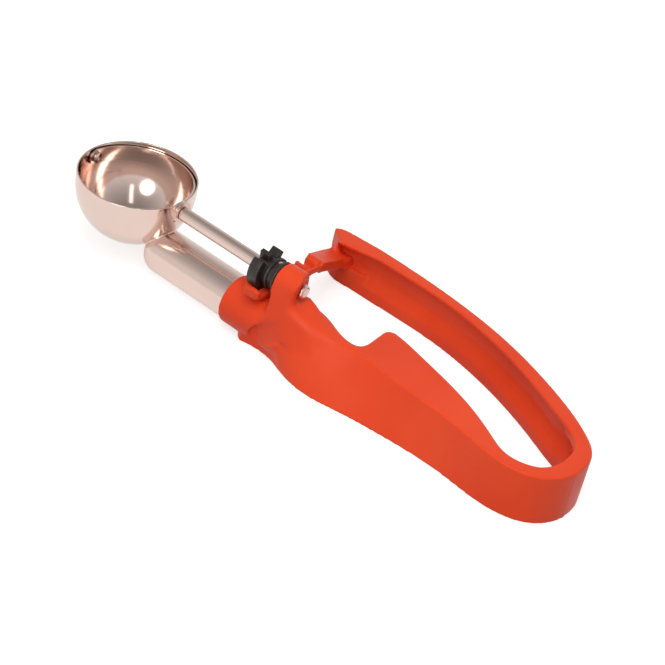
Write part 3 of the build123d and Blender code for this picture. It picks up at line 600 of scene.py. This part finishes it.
def shelf_corner(edge, lip, wall):
    """The corner of the solid's level shelf that stands over the slope."""
    return [(lip - 3, SHELF_LOW), (lip, SHELF_LOW), (shelf_y(lip, wall, CORNER_TOP), CORNER_TOP),
            (lip - 3, CORNER_TOP)]


def shelf_slope(edge, lip, wall):
    """The part of the slope that stands over the solid's level shelf."""
    return [(shelf_y(lip, wall, SLOPE_FROM), SLOPE_FROM), (wall + INTO_WALL, SLOPE_FROM),
            (wall + INTO_WALL, SLOPE_TO), (shelf_y(lip, wall, SLOPE_TO), SLOPE_TO)]


lever_body = to_piece(merged_copy("squeeze_lever"), "lever_body")
for room in (plate("front_room", *FRONT_ROOM), plate("channel_room", *CHANNEL_ROOM),
             along_lever("lip_underside", under_lip, INNER_ROWS),
             along_lever("shelf_corner", shelf_corner, LEVER_ROWS)):
    cut_from(lever_body, room)
shelf = along_lever("shelf", shelf_slope, LEVER_ROWS)
arm_ramp = solid("arm_ramp", [across_arm(*row) for row in RAMP_ROWS])
nose_foot = plate("nose_foot", *NOSE_FOOT)
rack = merged_copy("squeeze_lever")
cut(rack, (0, RACK_END_Y, 0), (0, 1, 0), lambda c: c.x > 0 or c.y > RACK_END_Y)
rack = to_piece(rack, "rack")
print("lever copy faces:", len(lever_body.data.polygons), "rack faces:", len(rack.data.polygons))

# %% [markdown]
# On the grip, a shoulder flows from the ear into the grip, and a shallow dish for a finger is cut into the
# flank of the collar. The collar gets a filled core, so that the dish has material to be cut from. The rod's
# tail is seen in a round pocket of the ear, so a plug closes the ear round the rod and the pocket is cut
# behind it.

# %% Finer forms of the grip, in mm
# x, outer y and inner y (low, high), low z and high z of the shoulder's sections
SHOULDER_ROWS = [(-12, (-10.3, -8.2), (9, 6.5), 13, 27.0), (-5, (-10.8, -8.1), (9, 6.0), 13, 27.8),
                 (4, (-10.4, -6.9), (8, 5.2), 12, 25.0), (13, (-9.2, -3.6), (5, 3.0), 12, 22.8),
                 (22, (-7.4, -0.6), (2, 1.5), 12, 22.0)]
# x, radius round the stem, lower angle and upper angle of the dish's sections
DISH_ROWS = [(-20.9, 11.2, -54, -30), (-20.1, 9.2, -50, -12), (-17.5, 8.0, -48, 9), (-12.5, 8.7, -42, 29),
             (-7, 9.7, -26, 40), (-1, 10.8, -4, 47), (6, 13.2, 16, 53)]
DISH_STEPS = 9
DISH_OUTSIDE = 18
CORE_START, CORE_END, CORE_RADIUS = -36.4 * MM, -7.5 * MM, 10.5 * MM
POCKET_FLOOR, POCKET_END = -6.6 * MM, 20 * MM
PLUG_START, PLUG_RADIUS, POCKET_RADIUS = -16.3 * MM, 4.3 * MM, 4.8 * MM


def dish_section(x, radius, low, top):
    """A section of the dish: all outside a radius round the stem, which grows towards both its angles."""
    turns = [low + (top - low) * k / DISH_STEPS for k in range(DISH_STEPS + 1)]
    inner = [(turn, radius + 0.07 * max(0, turn - 10) + 0.12 * max(0, low + 22 - turn)) for turn in turns]
    rim = inner + [(turn, DISH_OUTSIDE) for turn in reversed(turns)]
    return [(x, -r * cos(radians(turn)), STEM_AXIS.z / MM + r * sin(radians(turn))) for turn, r in rim]


grip_body = to_piece(merged_copy("handle_grip"), "grip_body")
shoulder = solid("shoulder", [across_grip(*row) for row in SHOULDER_ROWS])
core = cylinder("core", CORE_START, CORE_END, CORE_RADIUS, Vector((0, 0, STEM_AXIS.z)), 96)
for piece in (grip_body, core, shoulder):
    cut_from(piece, solid("dish", [dish_section(*row) for row in DISH_ROWS]))
plug = cylinder("plug", PLUG_START, POCKET_FLOOR, PLUG_RADIUS, rod_start, 64)
for piece in (grip_body, shoulder):
    cut_from(piece, cylinder("pocket", POCKET_FLOOR, POCKET_END, POCKET_RADIUS, rod_start, 64))
print("grip copy faces:", len(grip_body.data.polygons))

# %% [markdown]
# Two skins are made. One is the whole moulding, and it gives the grip, the bow and the lever. The other is
# only the arm with its rack and the front of the lever, in smaller faces and with less rubbing, so that the
# teeth stay crisp. The shells are cut from them along the same planes, so nothing is left between them.

# %% Skins and shells
SKIN_FACE, SKIN_ROUNDS = 0.42 * MM, 11
ARM_FACE, ARM_ROUNDS = 0.3 * MM, 8
BOW_START_X = 100.0 * MM
ARM_JOIN_Y = 55.0 * MM
LEVER_ABOVE_Y = 30.0 * MM
FRONT_END_X = 15.0 * MM

bow = bmesh.new()
for piece in (grip_body, lever_body):
    bow.from_mesh(piece.data)
bow_block(bow)
for piece in (shoulder, core, plug, arm_ramp, nose_foot, shelf):
    bow.from_mesh(piece.data)
skin = moulded(bow, "moulding_skin", SKIN_FACE, SKIN_ROUNDS)

front = bmesh.new()
front.from_mesh(lever_body.data)
cut(front, (FRONT_END_X, 0, 0), ALONG_X, lambda c: c.x > FRONT_END_X)
for piece in (rack, arm_ramp, nose_foot):
    front.from_mesh(piece.data)
front_skin = moulded(front, "front_skin", ARM_FACE, ARM_ROUNDS)

bow_plane = ((BOW_START_X, 0, 0), ALONG_X)
join_plane = ((0, ARM_JOIN_Y, 0), (0, 1, 0))
grip_shell = shell_of(skin, "grip_shell", [(*bow_plane, lambda c: c.x > BOW_START_X or c.y > LEVER_ABOVE_Y)])
bow_shell = shell_of(skin, "bow_shell", [(*bow_plane, lambda c: c.x < BOW_START_X)])
lever_shell = shell_of(skin, "lever_shell", [
    (*bow_plane, lambda c: c.x > BOW_START_X or c.y < LEVER_ABOVE_Y),
    (*join_plane, lambda c: c.x < 0 and c.y < ARM_JOIN_Y)])
rack_arm = shell_of(front_skin, "rack_arm", [(*join_plane, lambda c: c.y > ARM_JOIN_Y)])
for used in (lever_body, arm_ramp, nose_foot, shelf, rack, grip_body, shoulder, core, plug, skin,
             front_skin):
    bpy.data.objects.remove(used)

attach(grip_shell, "handle")
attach(lever_shell, "lever")
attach(rack_arm, "lever")
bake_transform(bow_shell)
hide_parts("handle_grip")
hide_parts("squeeze_lever")
for shell in (grip_shell, lever_shell, rack_arm, bow_shell):
    print(shell.name, "triangles about", 2 * len(shell.data.polygons))

# %% [markdown]
# ## The bowl
# A pressed and spun half sphere: a lathe profile turned once round the bowl's own axis, with a rounded rim,
# because spun metal is round about one axis. It leans a few degrees about the rod's axis, with the lever's
# side up.

# %% Bowl
BOWL_WALL = 0.7 * MM
BOWL_STEPS, RIM_STEPS, BOWL_TURN_STEPS = 64, 10, 192

inner = BOWL_RADIUS - BOWL_WALL
half = 0.5 * BOWL_WALL
profile = arc((0, 0), (-BOWL_RADIUS, BOWL_RADIUS), 0, 90, BOWL_STEPS)
profile += arc((BOWL_RIM - half, BOWL_RADIUS - half), (half, half), 90, -90, RIM_STEPS)
profile += arc((0, 0), (-inner, inner), 90, 0, BOWL_STEPS)
bowl_shell = to_piece(lathe(profile, BOWL_CENTRE, BOWL_AXIS, BOWL_TURN_STEPS), "bowl_shell")
dress(bowl_shell, bowl_steel)
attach(bowl_shell, "handle")
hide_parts("bowl")
print("bowl faces:", len(bowl_shell.data.polygons))

# %% [markdown]
# ## Stem
# The stem is a tube with a domed front end that is cut to sit on the bowl. It is turned as one closed shape,
# and the bowl's sphere is taken out of it.

# %% Stem
NOSE_LENGTH = 8.0 * MM
STEM_END_X = -24 * MM


def finish_piece(piece, material, body, node):
    """Gives a piece its material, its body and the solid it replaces."""
    dress(piece, material)
    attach(piece, body)
    if node:
        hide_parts(node)
    print(piece.name, "triangles about", sum(len(f.vertices) - 2 for f in piece.data.polygons))
    return piece


stem_length = STEM_END_X - stem_low.x
profile = arc((NOSE_LENGTH, 0), (-NOSE_LENGTH, STEM_RADIUS), 0, 90, 24)
profile += [(stem_length, STEM_RADIUS), (stem_length, 0)]
stem = to_piece(lathe(profile, STEM_AXIS, ALONG_X, 128), "stem")
ball_profile = arc((0, 0), (-BOWL_RADIUS, BOWL_RADIUS), 0, 180, 96)
ball = to_piece(lathe(ball_profile, BOWL_CENTRE, (0, 0, 1), 160), "ball")
finish_piece(keep_edges(cut_from(stem, ball), 40), tube_steel, "handle", "stem_tube")

# %% [markdown]
# ## Weld
# A thin bead of weld follows the line where stem and bowl meet. Its path is found by walking along the stem
# until it leaves the bowl's sphere, and Geometry Nodes draw the bead along that path: the same tree draws
# a bead of any thickness along any curve.

# %% Path of the weld
BEAD_STEPS = 90
BEAD_FROM, BEAD_SWEEP = -86, 172
HALVINGS = 30


def on_stem(along, turn):
    """A point on the stem's surface, by the distance from its tip and the angle from the top."""
    share = max(0.0, 1 - along / NOSE_LENGTH)
    reach = STEM_RADIUS * sqrt(1 - share ** 2)
    return STEM_AXIS + Vector((along, reach * sin(turn), reach * cos(turn)))


def leaves_bowl(turn):
    """Where that line of the stem comes out of the bowl's sphere."""
    inside, outside = 0.0, 2 * NOSE_LENGTH
    for _ in range(HALVINGS):
        middle = 0.5 * (inside + outside)
        if (on_stem(middle, turn) - BOWL_CENTRE).length < BOWL_RADIUS:
            inside = middle
        else:
            outside = middle
    return on_stem(outside, turn)


def path_object(name, points):
    """A closed curve through points."""
    curve = bpy.data.curves.new(name, "CURVE")
    curve.dimensions = "3D"
    line = curve.splines.new("POLY")
    line.points.add(len(points) - 1)
    for spot, point in zip(line.points, points):
        spot.co = (*point, 1)
    line.use_cyclic_u = True
    path = bpy.data.objects.new(name, curve)
    bpy.context.scene.collection.objects.link(path)
    return path


turns = [radians(BEAD_FROM + BEAD_SWEEP * k / BEAD_STEPS) for k in range(BEAD_STEPS + 1)]
weld_path = path_object("weld_path", [leaves_bowl(turn) for turn in turns])
print("weld path points:", len(turns))

# %% Weld bead
BEAD_RADIUS = 0.35 * MM
BEAD_SPACING = 0.3 * MM
BEAD_SIDES = 12
RIPPLE_SCALE = 900.0


def node_group(name, inputs):
    """An empty Geometry Nodes tree with named inputs of (name, socket type) and one Geometry output."""
    tree = bpy.data.node_groups.new(name, "GeometryNodeTree")
    for label, kind in inputs:
        tree.interface.new_socket(label, in_out="INPUT", socket_type=kind)
    tree.interface.new_socket("Geometry", in_out="OUTPUT", socket_type="NodeSocketGeometry")
    return tree, tree.nodes.new("NodeGroupInput").outputs


def end_with_material(tree, geometry, material):
    """Ends the tree in Realize Instances and Set Material."""
    real = add(tree, "GeometryNodeRealizeInstances", [("Geometry", geometry)]).outputs["Geometry"]
    done = add(tree, "GeometryNodeSetMaterial", [("Geometry", real), ("Material", material)])
    add(tree, "NodeGroupOutput", [("Geometry", done.outputs["Geometry"])])


def grown(name, tree, values):
    """A piece made by a tree with these values for its inputs, baked into plain mesh."""
    piece = link(name, bpy.data.meshes.new(name))
    grow = piece.modifiers.new("grow", "NODES")
    grow.node_group = tree
    for item in tree.interface.items_tree:
        if item.in_out == "INPUT":
            grow[item.identifier] = values[item.name]
    return baked(piece)


bead_tree, asked = node_group("bead_along_path", [
    ("Path", "NodeSocketObject"), ("Radius", "NodeSocketFloat"), ("Spacing", "NodeSocketFloat"),
    ("Unevenness", "NodeSocketFloat"), ("Material", "NodeSocketMaterial")])
path = add(bead_tree, "GeometryNodeObjectInfo", [("Object", asked["Path"])]).outputs["Geometry"]
even = add(bead_tree, "GeometryNodeResampleCurve", [("Curve", path), ("Length", asked["Spacing"])],
           mode="LENGTH")
ripple = add(bead_tree, "ShaderNodeTexNoise", [("Scale", RIPPLE_SCALE), ("Detail", 1.0)]).outputs["Fac"]
swell = add(bead_tree, "ShaderNodeMath", [(0, ripple), (1, asked["Unevenness"]), (2, 1.0)],
            operation="MULTIPLY_ADD").outputs[0]
ring = add(bead_tree, "GeometryNodeCurvePrimitiveCircle", [("Resolution", BEAD_SIDES),
                                                           ("Radius", asked["Radius"])])
bead = add(bead_tree, "GeometryNodeCurveToMesh", [("Curve", even.outputs["Curve"]),
                                                  ("Profile Curve", ring.outputs["Curve"]), ("Scale", swell)])
end_with_material(bead_tree, bead.outputs["Mesh"], asked["Material"])

weld_bead = grown("weld_bead", bead_tree, {"Path": weld_path, "Radius": BEAD_RADIUS, "Spacing": BEAD_SPACING,
                                           "Unevenness": 0.5, "Material": small_steel})
bpy.data.objects.remove(weld_path)
keep_edges(weld_bead, 80)
finish_piece(weld_bead, small_steel, "handle", None)

# %% [markdown]
# ## Rod
# The rod is turned: a long shank with a rounded tail, a thinner journal in the bush, a square that drives the
# blade and a peened head. Round parts come from lathe profiles with small chamfers, the square from a cube.

# %% Rod
TAIL_ROUND = 1.0 * MM
CHAMFER = 0.2 * MM
JOURNAL_RADIUS = 2.2 * MM
SHANK_X = -72.6 * MM
SQUARE_HALF = 1.5 * MM
PEEN_RADIUS, PEEN_LENGTH = 2.3 * MM, 0.7 * MM
BLADE_OUTER, BLADE_INNER = 24.8 * MM, 24.0 * MM

tail = arc((rod_high.x - TAIL_ROUND, ROD_RADIUS - TAIL_ROUND), (TAIL_ROUND, TAIL_ROUND), 90, 0, 8)
journal_x = BOWL_CENTRE.x + BLADE_OUTER
shank_profile = [(journal_x, 0), (journal_x, JOURNAL_RADIUS), (SHANK_X, JOURNAL_RADIUS),
                 (SHANK_X, ROD_RADIUS - CHAMFER), (SHANK_X + CHAMFER, ROD_RADIUS), *tail, (rod_high.x, 0)]
head_profile = [(rod_low.x, 0), (rod_low.x, PEEN_RADIUS - CHAMFER), (rod_low.x + CHAMFER, PEEN_RADIUS),
                (rod_low.x + PEEN_LENGTH, PEEN_RADIUS), (rod_low.x + PEEN_LENGTH, 0)]
shank = to_piece(lathe(shank_profile, rod_start, ALONG_X, 64), "shank")
head = to_piece(lathe(head_profile, rod_start, ALONG_X, 48), "head")
bm = bmesh.new()
bmesh.ops.create_cube(bm, size=1)
bmesh.ops.scale(bm, verts=bm.verts,
                vec=(journal_x - rod_low.x - PEEN_LENGTH, 2 * SQUARE_HALF, 2 * SQUARE_HALF))
bmesh.ops.translate(bm, verts=bm.verts, vec=(0.5 * (journal_x + rod_low.x + PEEN_LENGTH), 0, ROD_AXIS_Z))
square = to_piece(bm, "square")
rod = joined("rod", [shank, head, square])
finish_piece(keep_edges(rod, 40), rod_steel, "scraper", "scraper_rod")

# %% [markdown]
# ## Blade
# The scraper blade is a thin band of a sphere with a round eye at each end, where the rod and the rivet go
# through. It is made from its two spheres, so that it keeps the same small gap to the bowl all along.

# %% Scraper blade
BLADE_LOW, BLADE_HIGH = -3.2 * MM, 3.6 * MM
EYE_RADIUS = 3.8 * MM


def band(radius_out, radius_in, low, high, steps, rows):
    """A closed half ring of a sphere between two heights, on the +Y side of the bowl's centre."""
    bm = bmesh.new()
    heights = [low + (high - low) * k / rows for k in range(rows + 1)]
    loop = [(radius_out, h) for h in heights] + [(radius_in, h) for h in reversed(heights)]
    rings = []
    for k in range(steps + 1):
        turn = pi * k / steps
        rings.append([bm.verts.new(BOWL_CENTRE + Vector((cos(turn) * sqrt(r * r - h * h),
                                                         sin(turn) * sqrt(r * r - h * h), h)))
                      for r, h in loop])
    for one, other in zip(rings, rings[1:]):
        for k in range(len(loop)):
            bm.faces.new((one[k], one[k - 1], other[k - 1], other[k]))
    bm.faces.new(rings[0])
    bm.faces.new(rings[-1])
    bmesh.ops.recalc_face_normals(bm, faces=bm.faces)
    return to_piece(bm, "band")


def eye(towards):
    """A closed round cap of the blade's sphere on the rod's axis."""
    edge = degrees(atan(EYE_RADIUS / BLADE_OUTER))
    outside = arc((0, 0), (BLADE_OUTER, BLADE_OUTER), 0, edge, 6)
    inside = arc((0, 0), (BLADE_INNER, BLADE_INNER), edge, 0, 6)
    return to_piece(lathe(outside + inside, BOWL_CENTRE, (towards, 0, 0), 48), "eye")


blade = joined("blade", [band(BLADE_OUTER, BLADE_INNER, BLADE_LOW, BLADE_HIGH, 96, 6), eye(1), eye(-1)])
finish_piece(keep_edges(blade, 40), bowl_steel, "scraper", "scraper_blade")

# %% [markdown]
# ## Pinion
# The gear is a disc with a wide untoothed sector and a few straight teeth. One tooth is made, and Geometry
# Nodes set it round the rod: the same tree makes any number of teeth at any pitch.

# %% Teeth of the pinion
GEAR_WIDTH = 5.0 * MM
ROOT_RADIUS, TIP_RADIUS = 6.1 * MM, 9.3 * MM
FOOT_HALF, TIP_HALF = 1.65 * MM, 0.95 * MM
TOOTH_COUNT, TOOTH_PITCH, FIRST_TOOTH = 5, radians(360 / 7), radians(108)

foot, tip = (0.8 * ROOT_RADIUS, FOOT_HALF), (TIP_RADIUS, TIP_HALF)
tooth = prism("tooth", [(foot[0], -foot[1]), (tip[0], -tip[1]), tip, foot], 0, GEAR_WIDTH)
around, asked = node_group("repeat_around_rod", [
    ("Tooth", "NodeSocketObject"), ("Count", "NodeSocketInt"), ("First angle", "NodeSocketFloat"),
    ("Pitch", "NodeSocketFloat"), ("Place", "NodeSocketVector"), ("Material", "NodeSocketMaterial")])
spots = add(around, "GeometryNodeMeshLine", [("Count", asked["Count"]), ("Offset", (0, 0, 0))])
index = add(around, "GeometryNodeInputIndex").outputs["Index"]
back_turn = add(around, "ShaderNodeMath", [(0, index), (1, asked["Pitch"])], operation="MULTIPLY")
angle = add(around, "ShaderNodeMath", [(0, asked["First angle"]), (1, back_turn.outputs[0])],
            operation="SUBTRACT")
turned_by = add(around, "ShaderNodeCombineXYZ", [("X", angle.outputs[0])]).outputs["Vector"]
one_tooth = add(around, "GeometryNodeObjectInfo", [("Object", asked["Tooth"]), ("As Instance", True)])
teeth = add(around, "GeometryNodeInstanceOnPoints", [("Points", spots.outputs["Mesh"]),
                                                     ("Rotation", turned_by),
                                                     ("Instance", one_tooth.outputs["Geometry"])])
placed = add(around, "GeometryNodeTransform", [("Geometry", teeth.outputs["Instances"]),
                                               ("Translation", asked["Place"])])
end_with_material(around, placed.outputs["Geometry"], asked["Material"])
gear_teeth = grown("gear_teeth", around, {
    "Tooth": tooth, "Count": TOOTH_COUNT, "First angle": FIRST_TOOTH, "Pitch": TOOTH_PITCH,
    "Place": (wheel_low.x, 0, ROD_AXIS_Z), "Material": black})
bpy.data.objects.remove(tooth)
print("teeth:", TOOTH_COUNT, "at", round(degrees(TOOTH_PITCH), 1), "degrees")

# %% [markdown]
# The untoothed sector is a prism, and the hub with its two rings is turned on the lathe. All three are joined
# into one piece, because a moulded gear has no seams.

# %% Pinion
BLANK_RADIUS = 9.6 * MM
BLANK_START, BLANK_SWEEP, BLANK_STEPS = radians(135), radians(100), 20
NECK_RADIUS, RING_RADIUS, RING_WIDTH, RING_GAP = 6.2 * MM, 7.0 * MM, 1.7 * MM, 1.2 * MM


def polar(radius, turn):
    """The (Y, Z) point at a radius and an angle round the rod."""
    return (radius * cos(turn), radius * sin(turn))


blank_outline = [(0, 0)] + [polar(BLANK_RADIUS, BLANK_START + BLANK_SWEEP * k / BLANK_STEPS)
                            for k in range(BLANK_STEPS + 1)]
blank = prism("blank", [(y, z + ROD_AXIS_Z) for y, z in blank_outline], wheel_low.x, GEAR_WIDTH)
gear_end = wheel_low.x + GEAR_WIDTH
hub_profile = [(wheel_low.x, 0), (wheel_low.x, ROOT_RADIUS - BEVEL), (wheel_low.x + BEVEL, ROOT_RADIUS),
               (gear_end, ROOT_RADIUS), (gear_end, NECK_RADIUS)]
for start in (gear_end + RING_GAP, wheel_high.x - RING_WIDTH):
    hub_profile += [(start, NECK_RADIUS), (start, RING_RADIUS - BEVEL), (start + BEVEL, RING_RADIUS),
                    (start + RING_WIDTH - BEVEL, RING_RADIUS), (start + RING_WIDTH, RING_RADIUS - BEVEL)]
    if start == gear_end + RING_GAP:
        hub_profile += [(start + RING_WIDTH, NECK_RADIUS)]
hub_profile += [(wheel_high.x, 0)]
hub = to_piece(lathe(hub_profile, rod_start, ALONG_X, 96), "hub")
gear = joined("gear", [gear_teeth, blank, hub])
finish_piece(keep_edges(gear, 50), black, "scraper", "pinion")

# %% [markdown]
# ## Rivet, bush and pin
# The small parts keep the shapes of their solids. Each is copied, its loose triangles are joined, and it is
# shaded smooth with its real edges kept. The solids get materials too, for where they still show.

# %% Small metal parts
for name, body in (("pivot_rivet", "handle"), ("rod_bush", "handle"), ("pinion_pin", "scraper")):
    small = keep_edges(to_piece(merged_copy(name), name + "_skin"), 35)
    finish_piece(small, small_steel, body, name)
for name, metal in (("stem_tube", tube_steel), ("scraper_rod", rod_steel), ("scraper_blade", bowl_steel),
                    ("bowl", bowl_steel), ("pivot_rivet", small_steel), ("rod_bush", small_steel),
                    ("pinion_pin", small_steel), ("pinion", black), ("handle_grip", orange),
                    ("squeeze_lever", orange)):
    dress(cad[name], metal)

# %% [markdown]
# ## Floor and surroundings
# A product is shown on a pale floor under an even sky. The floor glows a little for the camera, so that it
# stays pale at its edges, and for mirror rays, so that the steel has something pale to show. The sky is
# bright low down and darker overhead where it is seen in the steel, and even where it only lights.

# %% Floor and sky
FLOOR_REACH, FLOOR_DROP = 4.0, 0.1 * MM
FLOOR_GREY = 0.50
FLOOR_SEEN, FLOOR_MIRRORED = 0.68, 0.50
SKY_LOW, SKY_OVERHEAD, SKY_SPAN = 1.0, 0.36, (0.30, 0.95)
SKY_LIGHT = 0.50


def floor_material():
    """A grey paint that also glows, as much as the ray that meets it asks for."""
    material = bpy.data.materials.new("pale_floor")
    material.use_nodes = True
    tree = material.node_tree
    tree.nodes.clear()
    ray = add(tree, "ShaderNodeLightPath")
    seen = add(tree, "ShaderNodeMath", [(0, ray.outputs["Is Camera Ray"]), (1, FLOOR_SEEN)],
               operation="MULTIPLY")
    glow = add(tree, "ShaderNodeMath", [(0, ray.outputs["Is Glossy Ray"]), (1, FLOOR_MIRRORED),
                                        (2, seen.outputs[0])], operation="MULTIPLY_ADD").outputs[0]
    paint = add(tree, "ShaderNodeBsdfDiffuse", [("Color", (FLOOR_GREY, FLOOR_GREY, FLOOR_GREY, 1))])
    light = add(tree, "ShaderNodeEmission", [("Strength", glow)])
    both = add(tree, "ShaderNodeAddShader", [(0, paint.outputs[0]), (1, light.outputs[0])])
    add(tree, "ShaderNodeOutputMaterial", [("Surface", both.outputs[0])])
    return material


def floor():
    """A flat square just under the scoop."""
    bm = bmesh.new()
    bmesh.ops.create_grid(bm, x_segments=1, y_segments=1, size=FLOOR_REACH)
    bmesh.ops.translate(bm, verts=bm.verts, vec=(0, 0, -FLOOR_DROP))
    return dress(to_piece(bm, "floor", smooth=False), floor_material())


def surroundings():
    """A plain world: one brightness for light, another by height for what is seen."""
    world = bpy.data.worlds.new("studio")
    bpy.context.scene.world = world
    world.use_nodes = True
    tree = world.node_tree
    tree.nodes.clear()
    ray = add(tree, "ShaderNodeLightPath")
    direction = add(tree, "ShaderNodeSeparateXYZ",
                    [("Vector", add(tree, "ShaderNodeTexCoord").outputs["Generated"])])
    by_height = spread(tree, direction.outputs["Z"], SKY_LOW, SKY_OVERHEAD, SKY_SPAN)
    seen = add(tree, "ShaderNodeMath", [(0, ray.outputs["Is Camera Ray"]), (1, ray.outputs["Is Glossy Ray"])],
               operation="ADD", use_clamp=True).outputs[0]
    level = add(tree, "ShaderNodeMix", [("Factor", seen), ("A", SKY_LIGHT), ("B", by_height)],
                data_type="FLOAT")
    light = add(tree, "ShaderNodeBackground", [("Strength", level.outputs["Result"])])
    add(tree, "ShaderNodeOutputWorld", [("Surface", light.outputs[0])])


floor()
surroundings()
print("floor of", 2 * FLOOR_REACH, "m, sky from", SKY_LOW, "to", SKY_OVERHEAD)

# %% [markdown]
# ## Lamps
# A round soft lamp and a narrow strip show in the polished steel as the two highlights of the bowl, and a
# large soft lamp overhead only lights, because a third highlight would be one too many.

# %% Lamps
def lamp(name, turn, height, distance, size, power, aim=(0, 0, 0.02), shape="DISK", tall=0.0, mirrored=True):
    """A soft area lamp at two angles in degrees, aimed at a point; a mirrored lamp shows in the steel."""
    data = bpy.data.lights.new(name, "AREA")
    data.shape = shape
    data.size = size
    if tall:
        data.size_y = tall
    data.energy = power
    body = bpy.data.objects.new(name, data)
    bpy.context.scene.collection.objects.link(body)
    turn, height = radians(turn), radians(height)
    towards = Vector((cos(height) * cos(turn), cos(height) * sin(turn), sin(height)))
    body.location = Vector(aim) + towards * distance
    body.rotation_euler = towards.to_track_quat("Z", "Y").to_euler()
    body.visible_glossy = mirrored


lamp("round_lamp", turn=-78.6, height=32.0, distance=1.0, size=0.50, power=2.3, aim=BOWL_CENTRE)
lamp("strip_lamp", turn=-42, height=53, distance=1.0, size=0.11, power=0.40, aim=BOWL_CENTRE,
     shape="RECTANGLE", tall=0.66)
lamp("overhead_lamp", turn=-60, height=72, distance=1.2, size=1.0, power=8.4, shape="SQUARE", mirrored=False)
bpy.context.scene.view_settings.view_transform = "Standard"
print("lamps:", [light.name for light in bpy.data.lights])
